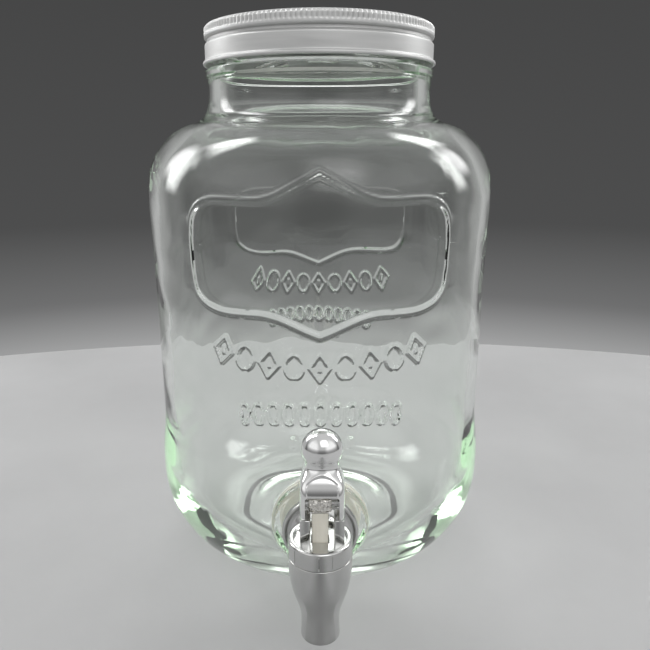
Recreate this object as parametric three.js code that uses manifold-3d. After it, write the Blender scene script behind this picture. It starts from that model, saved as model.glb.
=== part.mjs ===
// Countertop glass dispenser jar with a screw lid and a cam-lever tap, millimetres, +Z up.
// The origin is on the surface it stands on, in the middle of the whole outline. The tap points
// to -Y, the front. Pieces are drawn with the jar's axis on Z, and the group is then moved in Y.
import * as THREE from "three";
import { mergeVertices } from "three/addons/utils/BufferGeometryUtils.js";
import Module from "manifold-3d";

const wasm = await Module();
wasm.setup();

// ---- jar ----
const HEIGHT = 265; // base to the top of the lid
const BAND_R = 87; // widest, round the heel
const PANEL_R = 84.8; // side panel, set back between the heel and the shoulder
const BODY_R = 85.6; // shoulder band
const WALL = 4.5; // jar body wall
const HEEL_RX = 40; // rounded bottom edge, outside, across
const HEEL_RZ = 44; // and up
const SHOULDER_Z = 187; // where the straight wall ends
const SHOULDER_H = 35; // height of the rounded shoulder
const SHOULDER_R = 54.2; // centre of the shoulder's curve, outside
const NECK_R = 54; // neck, outside
const FINISH_R = 51.6; // threaded mouth, outside, between threads
const MOUTH_R = 48.6; // mouth, inside
const RIM_Z = HEIGHT - 3; // top of the glass rim
const LEAD = 6; // thread rise per turn
const THREAD_Z = RIM_Z - 11.1; // start of the glass thread

// ---- lid ----
const LID_R = 55; // outside
const LID_BOTTOM = HEIGHT - 17.4;
const SHEET = 0.7; // lid sheet
const LINER_Z = RIM_Z + 0.15; // underside of the liner

// ---- tap: heights are as drawn, before the tap is raised by LIFT ----
const LIFT = 6.5; // height the tap is raised by when it is set into the jar
const TAP_Y = -112; // axis of the barrel
const SHANK_Z = 42.5; // axis of the shank
const SHANK_R = 7.9; // threaded shank, outside
const BARREL_R = 13.1; // barrel and bonnet ring, outside
const SEAM_Z = 46.3; // top of the barrel, under the bonnet ring
const COLLAR_R = 11.6; // collar standing up inside the bonnet ring
const COLLAR_TOP = 50;
const CHAMBER_R = 10.3; // valve chamber
const CHAMBER_FLOOR = 33.4;
const SEAT_Z = 34.2; // raised lip round the outlet, under the plug
const BONNET_RIM_Z = 50.5; // underside of the bonnet's rim
const PIN_Z = 69; // lever pin with the tap shut
const PIN_R = 1.5;
const PIN_HOLE_R = 1.6;
const POST_Z = 63.5; // top of the bonnet's posts, which the lever's feet bear on
const CAM = 3.4; // stem rise per radian of lever tilt
const FOOT_DROP = PIN_Z - POST_Z - 0.3; // pin to the sole of a foot
const SIDE = 0.8; // how far the posts and lever sit towards +X in their ring
const STEM_COLLAR_TOP = 38.2; // under the spring
const SPRING_WASHER_Z = 46.2; // underside of the washer over the spring

// ---- where the tap goes through the glass ----
const HOLE_Z = SHANK_Z + LIFT;
const HOLE_R = 8.6; // hole in the glass
const BOSS_R = 21.3; // flat pad on the glass around the hole
const BOSS_Y = -88.3; // outer face of the pad
const PAD_Y = -79.5; // inner face of the pad
const WASHER_T = 2; // sealing washers
const WASHER_GAP = 0.05; // clearance on each face of a washer
const FLANGE_BACK = BOSS_Y - WASHER_T - 2 * WASHER_GAP;
const NUT_FACE = PAD_Y + WASHER_T + 2 * WASHER_GAP;

// Facets round a turned piece.
const FACETS = { jar: 40, finest: 36, fine: 32, medium: 28, coarse: 24, coarsest: 20 };

// ---- materials ----
const standard = (settings) => new THREE.MeshStandardMaterial(settings);
const glass = standard({ color: 0xdce9df, roughness: 0.03, metalness: 0 });
const aluminium = standard({ color: 0xc9cac8, roughness: 0.32, metalness: 1 });
const chrome = standard({ color: 0xdadbdb, roughness: 0.07, metalness: 1 });
const steel = standard({ color: 0xb9bab8, roughness: 0.25, metalness: 1 });
const foam = standard({ color: 0xf1f0ea, roughness: 0.85, metalness: 0 });
const silicone = standard({ color: 0xe6e4d8, roughness: 0.55, metalness: 0 });
const ivory = standard({ color: 0xe9e4cf, roughness: 0.4, metalness: 0 });
const acetal = standard({ color: 0xdcd8cb, roughness: 0.35, metalness: 0 });

// ---- three.js geometry to manifold solid and back ----
// A closed geometry as a solid facing out: welded, without collapsed triangles.
function solid(geometry) {
  const flat = geometry.index ? geometry.toNonIndexed() : geometry;
  const bare = new THREE.BufferGeometry();
  bare.setAttribute("position", flat.getAttribute("position").clone());
  const welded = mergeVertices(bare, 1e-4);
  const index = welded.index.array;
  const triangles = [];
  for (let i = 0; i < index.length; i += 3) {
    const [a, b, c] = index.subarray(i, i + 3);
    if (a !== b && b !== c && a !== c) triangles.push(a, b, c);
  }
  const build = () =>
    new wasm.Manifold(
      new wasm.Mesh({
        numProp: 3,
        vertProperties: new Float32Array(welded.attributes.position.array),
        triVerts: new Uint32Array(triangles),
      }),
    );
  const made = build();
  if (made.volume() > 0) return made;
  for (let i = 0; i < triangles.length; i += 3) {
    [triangles[i + 1], triangles[i + 2]] = [triangles[i + 2], triangles[i + 1]];
  }
  return build();
}

function geometryOf(shape) {
  const mesh = shape.getMesh();
  const stride = mesh.numProp;
  const positions = new Float32Array(mesh.numVert * 3);
  for (let i = 0; i < mesh.numVert; i++) {
    positions.set(mesh.vertProperties.subarray(i * stride, i * stride + 3), i * 3);
  }
  const geometry = new THREE.BufferGeometry();
  geometry.setAttribute("position", new THREE.BufferAttribute(positions, 3));
  geometry.setIndex(new THREE.BufferAttribute(new Uint32Array(mesh.triVerts), 1));
  geometry.computeVertexNormals();
  return geometry;
}

// ---- outlines ----
const radians = (degrees) => (degrees * Math.PI) / 180;
const vectors = (points) => points.map(([a, b]) => new THREE.Vector2(a, b));

// Points [r, z] on an elliptical arc centred on (r, z), between two angles in degrees.
function arc({ r, z, radius, rise = radius, from, to, steps }) {
  const points = [];
  for (let i = 0; i <= steps; i++) {
    const angle = radians(from + ((to - from) * i) / steps);
    points.push([r + radius * Math.cos(angle), z + rise * Math.sin(angle)]);
  }
  return points;
}

// Square-edged profile of a ring, or of a rod when the inner radius is 0.
const band = (inner, outer, from, to) => [
  [inner, from],
  [outer, from],
  [outer, to],
  [inner, to],
];

// ---- solids ----
// A profile of [r, height] turned about Y. It closes on itself, or starts and ends on the axis.
function lathe(points, facets) {
  const profile = vectors(points);
  const onAxis = points[0][0] === 0 && points.at(-1)[0] === 0;
  if (!onAxis) profile.push(profile[0].clone());
  return new THREE.LatheGeometry(profile, facets);
}

// Points [r, z] turned about the upright axis at the given y.
function turned(points, facets = FACETS.jar, y = 0) {
  return solid(lathe(points, facets).rotateX(Math.PI / 2).translate(0, y, 0));
}

// Points [r, z] turned about the barrel's axis.
const barrelTurned = (points, facets = FACETS.medium) => turned(points, facets, TAP_Y);

// Points [r, y] turned about an axis along Y at height z.
function turnedY(points, facets = FACETS.medium, z = SHANK_Z) {
  return solid(lathe(points, facets).translate(0, 0, z));
}

function extruded(outline, from, to, turn) {
  const shape = new THREE.Shape(vectors(outline));
  const settings = { depth: to - from, bevelEnabled: false, curveSegments: 1 };
  const geometry = new THREE.ExtrudeGeometry(shape, settings);
  return solid(geometry.translate(0, 0, from).applyMatrix4(turn));
}

// An outline of [y, z] pushed along X.
const YZ_PLANE = new THREE.Matrix4().set(0, 0, 1, 0, 1, 0, 0, 0, 0, 1, 0, 0, 0, 0, 0, 1);
const pushedX = (outline, from, to) => extruded(outline, from, to, YZ_PLANE);

// An outline of [x, z] pushed along Y.
const XZ_PLANE = new THREE.Matrix4().set(1, 0, 0, 0, 0, 0, 1, 0, 0, 1, 0, 0, 0, 0, 0, 1);
const pushedY = (outline, from, to) => extruded(outline, from, to, XZ_PLANE);

// A box between two limits on each axis.
function block({ x, y, z }) {
  const limits = [x, y, z];
  const geometry = new THREE.BoxGeometry(...limits.map(([low, high]) => high - low));
  return solid(geometry.translate(...limits.map(([low, high]) => (low + high) / 2)));
}

// A rod along X through the lever pin's place.
function rodAtPin(radius, from, to) {
  const geometry = new THREE.CylinderGeometry(radius, radius, to - from, FACETS.coarsest);
  geometry.rotateZ(Math.PI / 2);
  return solid(geometry.translate((from + to) / 2, TAP_Y, PIN_Z));
}

// A thread ridge about Z, its ends tapering away into the wall at the root radius.
// The half heights are those of its section at the root and at the crest.
function threadRidge({ root, crest, rootHalf, crestHalf, z, fromTurn, toTurn, steps }) {
  const section = [
    [root, -rootHalf],
    [crest, -crestHalf],
    [crest, crestHalf],
    [root, rootHalf],
  ];
  const rings = [];
  for (let i = 0; i <= steps; i++) {
    const turn = fromTurn + ((toTurn - fromTurn) * i) / steps;
    const angle = 2 * Math.PI * turn;
    const fullness = Math.min(1, Math.min(i, steps - i) / 3 + 0.15);
    rings.push(
      section.map(([r, dz]) => {
        const radius = root + (r - root) * fullness;
        const height = z + LEAD * turn + dz * (0.4 + 0.6 * fullness);
        return [radius * Math.cos(angle), radius * Math.sin(angle), height];
      }),
    );
  }
  const positions = [];
  const triangle = (a, b, c) => positions.push(...a, ...b, ...c);
  const corners = section.length;
  for (let i = 0; i < steps; i++) {
    for (let k = 0; k < corners; k++) {
      const next = (k + 1) % corners;
      triangle(rings[i][k], rings[i + 1][k], rings[i + 1][next]);
      triangle(rings[i][k], rings[i + 1][next], rings[i][next]);
    }
  }
  const [first, last] = [rings[0], rings[steps]];
  for (let k = 1; k < corners - 1; k++) {
    triangle(first[0], first[k], first[k + 1]);
    triangle(last[0], last[k + 1], last[k]);
  }
  const geometry = new THREE.BufferGeometry();
  geometry.setAttribute("position", new THREE.BufferAttribute(new Float32Array(positions), 3));
  return solid(geometry);
}

// ---- glass jar: turned shell, a flat pad round the tap hole, the mouth's thread ----
function glassJar() {
  const heelR = BAND_R - HEEL_RX;
  const heel = { r: heelR, z: HEEL_RZ, radius: HEEL_RX, rise: HEEL_RZ };
  const shoulder = { r: SHOULDER_R, z: SHOULDER_Z, radius: BODY_R - SHOULDER_R, rise: SHOULDER_H };
  // [r, z] from the middle of the base up to the rim
  const outside = [
    [0, 3.6], [39.5, 3.2], [41.5, 0], [heelR, 0],
    ...arc({ ...heel, from: -76, to: 0, steps: 5 }),
    [BAND_R, 52],
    [PANEL_R + 0.9, 64],
    [PANEL_R, 76],
    [PANEL_R, 150],
    [BODY_R, 180],
    ...arc({ ...shoulder, from: 0, to: 78, steps: 6 }),
    [57.8, 223.4], [55.2, 226.2],
    [NECK_R + 0.2, 230],
    [NECK_R, 234.5],
    [NECK_R, 240.2],
    [NECK_R + 1, 242.4],
    [NECK_R + 1, 245.6],
    [53.2, 246.6],
    [FINISH_R, 247.2],
    [FINISH_R, RIM_Z - 1.2],
    [FINISH_R - 0.9, RIM_Z],
  ];
  const innerShoulder = { r: 50.5, z: SHOULDER_Z - 1.5, radius: BODY_R - WALL - 50.5, rise: 33.5 };
  const innerHeel = { r: 50, z: 46, radius: BAND_R - WALL - 50, rise: 37.3 };
  // [r, z] from the rim down to the middle of the floor
  const inside = [
    [MOUTH_R + 0.9, RIM_Z],
    [MOUTH_R, RIM_Z - 1.2],
    [MOUTH_R, 227],
    [50.2, 222.6],
    ...arc({ ...innerShoulder, from: 78, to: 0, steps: 5 }),
    [PANEL_R - WALL, 150],
    [PANEL_R - WALL, 76],
    ...arc({ ...innerHeel, from: 0, to: -80, steps: 5 }),
    [40, 8.7], [0, 9.4],
  ];
  // [r, y] from the inner face to the outer
  const padProfile = [
    [0, PAD_Y],
    [19.2, PAD_Y],
    [BOSS_R - 0.4, PAD_Y - 3],
    [BOSS_R, BOSS_Y + 1],
    [BOSS_R - 1, BOSS_Y],
    [0, BOSS_Y],
  ];
  const thread = threadRidge({
    root: FINISH_R - 0.7,
    crest: FINISH_R + 1.3,
    rootHalf: 1.3,
    crestHalf: 0.45,
    z: THREAD_Z,
    fromTurn: 0,
    toTurn: 1.25,
    steps: 30,
  });
  return turned([...outside, ...inside])
    .add(turnedY(padProfile, FACETS.medium, HOLE_Z))
    .subtract(turnedY(band(0, HOLE_R, -60, -95), FACETS.medium, HOLE_Z))
    .add(thread);
}

// ---- lid: pressed sheet shell with an inside thread ----
function lidShell() {
  // [r, z] over the outside from the middle to the hem, then back under the inside
  const profile = [
    [0, HEIGHT - 0.9],
    [40, HEIGHT - 0.9],
    [41.4, HEIGHT - 0.1],
    [46, HEIGHT],
    [52.6, HEIGHT],
    [54.4, HEIGHT - 0.7],
    [LID_R, HEIGHT - 2.2],
    [LID_R, HEIGHT - 5.6],
    [53.9, HEIGHT - 6.4],
    [53.9, HEIGHT - 7.2],
    [LID_R - 0.1, HEIGHT - 8.6],
    [LID_R - 0.1, LID_BOTTOM + 2],
    [LID_R + 1, LID_BOTTOM + 0.9],
    [LID_R + 1, LID_BOTTOM],
    [LID_R - 0.3, LID_BOTTOM],
    [54.15, LID_BOTTOM + 1.8],
    [54.15, HEIGHT - 8.8],
    [53.2, HEIGHT - 7.4],
    [53.2, HEIGHT - 6.2],
    [54.15, HEIGHT - 5.2],
    [LID_R - SHEET, HEIGHT - 2.4],
    [53.4, HEIGHT - SHEET - 0.3],
    [46, HEIGHT - SHEET],
    [41.8, HEIGHT - SHEET - 0.1],
    [40.2, HEIGHT - 1.7],
    [0, HEIGHT - 1.7],
  ];
  const thread = threadRidge({
    root: 54.5,
    crest: 52.2,
    rootHalf: 1.25,
    crestHalf: 0.4,
    z: THREAD_Z - 2.3,
    fromTurn: 0.42,
    toTurn: 1.02,
    steps: 16,
  });
  return turned(profile).add(thread);
}

// ---- tap body: spout and valve chamber in one with the flange and threaded shank ----
function tapBody() {
  // [r, z] up the outside from the spout's tip, then down the bore
  const barrel = [
    [6.4, 7.4], [7.8, 7.4], [8.2, 8.0], [7.95, 13], [8.0, 17], [8.5, 20.5],
    [9.8, 25], [11.4, 30], [12.3, 34.2], [12.85, 38.5],
    [BARREL_R, 42.5],
    [BARREL_R, SEAM_Z],
    [COLLAR_R, SEAM_Z],
    [COLLAR_R, COLLAR_TOP],
    [CHAMBER_R, COLLAR_TOP],
    [CHAMBER_R, CHAMBER_FLOOR],
    [7.4, CHAMBER_FLOOR],
    [7.0, SEAT_Z],
    [6.2, SEAT_Z],
    [6.2, 20], [6.4, 10],
  ];
  // [r, y] from inside the barrel, over the flange, to the end of the shank
  const arm = [
    [0, TAP_Y + 6],
    [9.6, TAP_Y + 6],
    [9.6, -97.3], [10.6, -94.5], [15.0, -93.3], [16.2, -92.7], [16.7, -91.7],
    [16.7, FLANGE_BACK],
    [SHANK_R, FLANGE_BACK],
    [SHANK_R, -65.9],
    [SHANK_R - 0.6, -65.3],
    [0, -65.3],
  ];
  const chamber = [
    [0, SEAT_Z],
    [7.0, SEAT_Z],
    [7.4, CHAMBER_FLOOR],
    [CHAMBER_R, CHAMBER_FLOOR],
    [CHAMBER_R, 50.5],
    [0, 50.5],
  ];
  // Space round and above the collar, where the bonnet ring sits
  const ringSpace = [
    [0, COLLAR_TOP],
    [COLLAR_R, COLLAR_TOP],
    [COLLAR_R, SEAM_Z],
    [16, SEAM_Z],
    [16, 56],
    [0, 56],
  ];
  // Keeps the ring's space from cutting the flange
  const flangeGuard = block({ x: [-18, 18], y: [-98.1, -60], z: [0, 90] });
  return barrelTurned(barrel)
    .add(turnedY(arm, FACETS.fine))
    .subtract(barrelTurned(chamber))
    .subtract(barrelTurned(band(0, 6.1, 5, 34.5), FACETS.coarse)) // spout's bore
    .subtract(turnedY(band(0, 4.2, TAP_Y, -60), FACETS.coarsest)) // shank's bore
    .subtract(barrelTurned(ringSpace).subtract(flangeGuard));
}

// ---- seals and nut on the shank ----
// A washer about the shank with its outer edges chamfered.
function shankWasher(inner, outer, front, thickness) {
  const chamfer = 0.4;
  const back = front + thickness;
  return turnedY([
    [inner, front],
    [outer - chamfer, front],
    [outer, front + chamfer],
    [outer, back - chamfer],
    [outer - chamfer, back],
    [inner, back],
  ]);
}

const outerWasher = () => shankWasher(8.3, 15.8, BOSS_Y - WASHER_GAP - WASHER_T, WASHER_T);
const innerWasher = () => shankWasher(8.3, 17.4, PAD_Y + WASHER_GAP, WASHER_T);

function shankNut() {
  const cornerR = 15.2;
  const hexagon = [];
  for (let i = 0; i < 6; i++) {
    const angle = radians(60 * i);
    hexagon.push([cornerR * Math.cos(angle), cornerR * Math.sin(angle) + SHANK_Z]);
  }
  return pushedY(hexagon, NUT_FACE + 1.5, NUT_FACE + 9)
    .add(shankWasher(5, 18.4, NUT_FACE, 2.4))
    .subtract(turnedY(band(0, 8.2, -90, -50), FACETS.fine));
}

// ---- bonnet: guides the stem, and carries the two posts the lever's feet bear on ----
function bonnet() {
  const disc = [
    [0, 46.9], [9.3, 46.9],
    [9.3, BONNET_RIM_Z],
    [11.5, BONNET_RIM_Z],
    [11.5, 52.7], [0, 52.7],
  ];
  const post = [
    [TAP_Y - 4.2, 52],
    [TAP_Y + 4.2, 52],
    [TAP_Y + 4.2, POST_Z - 0.8],
    [TAP_Y + 3.4, POST_Z],
    [TAP_Y - 3.9, POST_Z],
    [TAP_Y - 4.2, POST_Z - 0.4],
  ];
  const bladePocket = block({ x: [-3.7, 3.7], y: [TAP_Y - 2.9, TAP_Y + 2.9], z: [49.9, 60] });
  // Wide below for the stem's O-ring, narrow above for the stem
  const bore = [[0, 40], [4.7, 40], [4.7, 48.9], [2.7, 48.9], [2.7, 60], [0, 60]];
  return barrelTurned(disc)
    .add(pushedX(post, SIDE + 4.8, SIDE + 8.9))
    .add(pushedX(post, SIDE - 8.8, SIDE - 4.7))
    .subtract(bladePocket)
    .subtract(barrelTurned(bore, FACETS.coarse));
}

function bonnetGasket() {
  const profile = band(9.5, 11.4, COLLAR_TOP + 0.05, BONNET_RIM_Z - 0.05);
  return barrelTurned(profile, FACETS.finest);
}

function bonnetRing() {
  const profile = [
    [11.8, SEAM_Z + 0.15],
    [BARREL_R, SEAM_Z + 0.15],
    [BARREL_R, 53.6],
    [BARREL_R - 0.7, 54.3],
    [11.3, 54.3], [10.8, 53.8], [10.8, 52.8], [11.8, 52.8],
  ];
  return barrelTurned(profile, FACETS.finest);
}

// ---- stem, its plug and seals, and the closing spring ----
function stemORing() {
  const section = arc({ r: 3.65, z: 47.95, radius: 0.88, from: 0, to: 315, steps: 7 });
  return barrelTurned(section, FACETS.coarsest);
}

function springWasher() {
  return barrelTurned(band(2.8, 6.3, SPRING_WASHER_Z, SPRING_WASHER_Z + 0.6), FACETS.coarse);
}

// A [y, z] outline measured from the lever pin, moved to its place.
const fromPin = (outline) => outline.map(([y, z]) => [TAP_Y + y, PIN_Z + z]);

function valveStem() {
  const rod = [
    [0, 31.6], [2.6, 31.6], [3.4, 32.6], [3.4, 33.6], [2.4, 34.0], [2.4, 37.2], [6.2, 37.2],
    [6.2, STEM_COLLAR_TOP],
    [2.55, STEM_COLLAR_TOP],
    [2.55, 51], [0, 51],
  ];
  const blade = block({ x: [-3.2, 3.2], y: [TAP_Y - 2.5, TAP_Y + 2.5], z: [50.2, 68] });
  const head = fromPin([[-3.3, -2.6], [3.3, -2.6], [3.3, 1.6], [1.9, 3.2], [-1.9, 3.2], [-3.3, 1.6]]);
  return barrelTurned(rod, FACETS.coarse)
    .add(blade)
    .add(pushedX(head, -4.6, 4.6))
    .subtract(rodAtPin(PIN_HOLE_R, -6, 6));
}

function seatPlug() {
  return barrelTurned([[2.5, 34.3], [8.2, 34.3], [8.6, 34.8], [7.2, 37.1], [2.5, 37.1]], FACETS.fine);
}

// Centre line of the spring's wire, with a flat part of a coil at each end.
class SpringPath extends THREE.Curve {
  getPoint(t, target = new THREE.Vector3()) {
    const coilR = 4.7;
    const coils = 4;
    const flatPart = 0.12; // share of the wire's turning, at each end
    const endGap = 0.37; // wire centre to the stem's collar and to the washer
    const bottom = STEM_COLLAR_TOP + endGap;
    const rise = SPRING_WASHER_Z - endGap - bottom;
    const climbed = Math.min(1, Math.max(0, (t - flatPart) / (1 - 2 * flatPart)));
    const angle = 2 * Math.PI * coils * t;
    return target.set(
      coilR * Math.cos(angle),
      coilR * Math.sin(angle) + TAP_Y,
      bottom + rise * climbed,
    );
  }
}

function closingSpring() {
  const wireR = 0.3;
  const section = [];
  for (let i = 0; i < 6; i++) {
    const angle = (2 * Math.PI * i) / 6;
    section.push([wireR * Math.cos(angle), wireR * Math.sin(angle)]);
  }
  const settings = { steps: 60, extrudePath: new SpringPath(), curveSegments: 1 };
  return solid(new THREE.ExtrudeGeometry(new THREE.Shape(vectors(section)), settings));
}

// ---- lever: its feet are a cam, an involute that lifts the pin by CAM per radian ----
function lever() {
  const foot = [];
  for (let i = 0; i <= 9; i++) {
    const tilt = ((Math.PI / 2) * i) / 9;
    const reach = FOOT_DROP + CAM * tilt;
    foot.push([
      -reach * Math.sin(tilt) - CAM * Math.cos(tilt),
      -reach * Math.cos(tilt) + CAM * Math.sin(tilt),
    ]);
  }
  // [y, z] from the pin: up the front, across under the knob and down the back
  const handle = [
    [-10.3, 6.2], [-9.6, 9.4], [-8.2, 12.4], [-6.4, 15], [-5.5, 17.4], [-5.3, 23],
    [5.3, 23], [5.3, 17.2], [6.0, 14], [6.9, 10.8], [7.2, 8], [7.2, -3.2], [5.2, -5.2],
  ];
  // [x, z] from the pin: the +X edge seen from the front, bottom to top
  const edge = [[8.7, -8], [8.7, 9], [8.5, 11.3], [7.8, 13.2], [7.0, 15.2], [6.8, 17.2], [7.1, 23]];
  const mirrored = edge.map(([x, z]) => [-x, z]).reverse();
  const front = [...edge, ...mirrored].map(([x, z]) => [x, PIN_Z + z]);
  // Slot between the feet, open at the front and below
  const slot = block({
    x: [-6.6, 6.6],
    y: [TAP_Y - 12, TAP_Y + 5.1],
    z: [PIN_Z - 8, PIN_Z + 7.8],
  });
  const knob = new THREE.SphereGeometry(1, 20, 12);
  knob.rotateX(Math.PI / 2);
  knob.scale(8.2, 7.6, 8.2);
  knob.translate(0, TAP_Y, PIN_Z + 23.6);
  return pushedX(fromPin([...foot, ...handle]), -8.8, 8.8)
    .intersect(pushedY(front, TAP_Y - 12, TAP_Y + 12))
    .subtract(slot)
    .add(solid(knob))
    .subtract(rodAtPin(PIN_HOLE_R, -9, 9));
}

// ---- assembly ----
const root = new THREE.Group();
// The outline runs from the barrel's front to the heel's back.
root.position.y = (BARREL_R - TAP_Y - BAND_R) / 2;

function add(name, shape, material, lift = 0, side = 0) {
  const mesh = new THREE.Mesh(geometryOf(shape).translate(side, 0, lift), material);
  mesh.name = name;
  root.add(mesh);
}

add("glass_jar", glassJar(), glass);
add("lid_shell", lidShell(), aluminium);
add("lid_liner", turned(band(0, 52.4, LINER_Z, LINER_Z + 1)), foam);
add("tap_body", tapBody(), chrome, LIFT);
add("outer_washer", outerWasher(), silicone, LIFT);
add("inner_washer", innerWasher(), silicone, LIFT);
add("shank_nut", shankNut(), ivory, LIFT);
add("bonnet", bonnet(), chrome, LIFT);
add("bonnet_gasket", bonnetGasket(), silicone, LIFT);
add("bonnet_ring", bonnetRing(), chrome, LIFT);
add("stem_o_ring", stemORing(), silicone, LIFT);
add("spring_washer", springWasher(), steel, LIFT);
add("valve_stem", valveStem(), acetal, LIFT);
add("seat_plug", seatPlug(), silicone, LIFT);
add("closing_spring", closingSpring(), steel, LIFT);
add("lever", lever(), chrome, LIFT, SIDE);
add("pivot_pin", rodAtPin(PIN_R, -8.3, 8.9), steel, LIFT);

export default root;
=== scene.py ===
"""A glass drinks jar with a screw lid and a lever tap low on its front.

The jar stands on z = 0 with its axis upright, and the tap stands out toward -Y. Shapes are written
in millimetres about the jar's axis, and mesh_object moves them into the shared frame in metres.
"""
import math

import bpy
import numpy as np
from mathutils import Matrix, Vector


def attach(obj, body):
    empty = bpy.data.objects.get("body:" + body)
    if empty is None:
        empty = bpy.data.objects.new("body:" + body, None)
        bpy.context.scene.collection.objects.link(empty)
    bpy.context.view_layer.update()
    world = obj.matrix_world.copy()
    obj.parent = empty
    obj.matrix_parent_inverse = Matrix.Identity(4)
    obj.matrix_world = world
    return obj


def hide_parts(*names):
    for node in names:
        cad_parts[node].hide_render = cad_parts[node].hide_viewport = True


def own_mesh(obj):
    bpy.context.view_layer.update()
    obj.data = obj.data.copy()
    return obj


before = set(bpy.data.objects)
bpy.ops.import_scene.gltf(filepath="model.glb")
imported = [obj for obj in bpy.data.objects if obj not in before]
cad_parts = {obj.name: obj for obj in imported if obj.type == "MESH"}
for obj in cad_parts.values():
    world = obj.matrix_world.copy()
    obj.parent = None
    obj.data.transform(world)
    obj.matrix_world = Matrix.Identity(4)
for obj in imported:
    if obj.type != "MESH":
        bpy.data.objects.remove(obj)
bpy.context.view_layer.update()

MM = 0.001
AXIS_Y = 19.05  # the jar's axis in the shared frame

# Heights from the floor
LID_TOP = 265.0
RIM = 262.0
LID_BOTTOM = 247.6
THREAD_PITCH = 6.0

# Heights on the tap are its own, and the whole tap is raised by LIFT
TAP_Y = -112.0
LIFT = 6.5
SHANK = 42.5
POST_TOP = 63.5
PIN = 69.0
LEVER_SHIFT = 0.8  # the posts and lever sit a little to the right in their collar

# Centres to turn pieces about
TAP_AXIS = (0, TAP_Y, LIFT)
SHANK_Z = SHANK + LIFT
SHANK_AXIS = (0, 0, SHANK_Z)
PIN_Z = PIN + LIFT
PIN_AXIS = (0, TAP_Y, PIN_Z)


def smoothstep(start, end, value):
    t = np.clip((np.asarray(value, float) - start) / (end - start), 0, 1)
    return t * t * (3 - 2 * t)


# ---------------------------------------------------------------- shader nodes
class Graph:
    """Adds nodes to a shader tree. An input is given either a value or a socket to link."""

    def __init__(self, tree):
        self.tree = tree

    def feed(self, node, inputs):
        for key, value in inputs.items():
            if isinstance(value, bpy.types.NodeSocket):
                self.tree.links.new(value, node.inputs[key])
            else:
                node.inputs[key].default_value = value

    def add(self, kind, inputs, **settings):
        node = self.tree.nodes.new("ShaderNode" + kind)
        for key, value in settings.items():
            setattr(node, key, value)
        self.feed(node, inputs)
        return node

    def coords(self, scale=(1, 1, 1)):
        place = self.add("TexCoord", {}).outputs["Object"]
        return self.add("Mapping", {"Scale": scale, "Vector": place}).outputs["Vector"]

    def split(self, vector):
        return self.add("SeparateXYZ", {"Vector": vector}).outputs

    def noise(self, vector, scale, detail=3.0, roughness=0.55):
        inputs = {"Scale": scale, "Detail": detail, "Roughness": roughness, "Vector": vector}
        return self.add("TexNoise", inputs).outputs["Fac"]

    def ramp(self, factor, stops):
        """stops: [(position, (red, green, blue))]"""
        node = self.add("ValToRGB", {})
        elements = node.color_ramp.elements
        while len(elements) < len(stops):
            elements.new(0.5)
        for k, (position, colour) in enumerate(stops):
            elements[k].position = position
            elements[k].color = (*colour, 1)
        self.feed(node, {"Fac": factor})
        return node.outputs["Color"]

    def map_range(self, value, from_min, from_max, to_min=0.0, to_max=1.0, kind="LINEAR"):
        inputs = {
            "From Min": from_min, "From Max": from_max,
            "To Min": to_min, "To Max": to_max, "Value": value,
        }
        return self.add("MapRange", inputs, interpolation_type=kind).outputs["Result"]

    def smooth_range(self, value, from_min, from_max, to_max=1.0):
        return self.map_range(value, from_min, from_max, to_max=to_max, kind="SMOOTHSTEP")

    def noise_range(self, factor, low, high):
        """Spread the middle of a noise over low to high."""
        return self.map_range(factor, 0.3, 0.7, low, high)

    def math(self, operation, *values):
        return self.add("Math", dict(enumerate(values)), operation=operation).outputs[0]

    def mix(self, factor, first, second, blend="MIX"):
        inputs = {0: factor, 6: first, 7: second}
        return self.add("Mix", inputs, data_type="RGBA", blend_type=blend).outputs[2]

    def bump(self, surface, height, strength, distance):
        inputs = {"Strength": strength, "Distance": distance, "Height": height}
        self.feed(surface, {"Normal": self.add("Bump", inputs).outputs["Normal"]})


def new_material(name):
    material = bpy.data.materials.new(name)
    material.use_nodes = True
    tree = material.node_tree
    return material, Graph(tree), tree.nodes["Principled BSDF"]


# ---------------------------------------------------------------- materials
def glass_material():
    material, graph, surface = new_material("jar_glass_look")
    output = graph.tree.nodes["Material Output"]
    place = graph.coords()
    tint = graph.ramp(
        graph.noise(place, scale=9.0, detail=2.0),
        [(0.3, (0.982, 0.996, 0.986)), (0.7, (0.990, 0.998, 0.992))],
    )
    haze = graph.noise_range(graph.noise(place, scale=30.0, detail=2.0), low=0.0, high=0.012)
    graph.feed(surface, {
        "Transmission Weight": 1.0, "IOR": 1.5, "Base Color": tint, "Roughness": haze,
    })
    waves = graph.noise(graph.coords(scale=(1, 1, 0.45)), scale=26.0, detail=1.5)
    graph.bump(surface, waves, strength=0.10, distance=0.004)
    # thick glass turns green
    depth = graph.add("VolumeAbsorption", {"Color": (0.40, 0.975, 0.36, 1), "Density": 2.5})
    # lamps shine through the walls, a little weakened at each face
    shadow_ray = graph.add("LightPath", {}).outputs["Is Shadow Ray"]
    clear = graph.add("BsdfTransparent", {"Color": (0.955, 0.945, 0.955, 1)})
    either = graph.add("MixShader", {
        0: shadow_ray, 1: surface.outputs["BSDF"], 2: clear.outputs["BSDF"],
    })
    graph.feed(output, {"Volume": depth.outputs["Volume"], "Surface": either.outputs["Shader"]})
    return material


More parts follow.
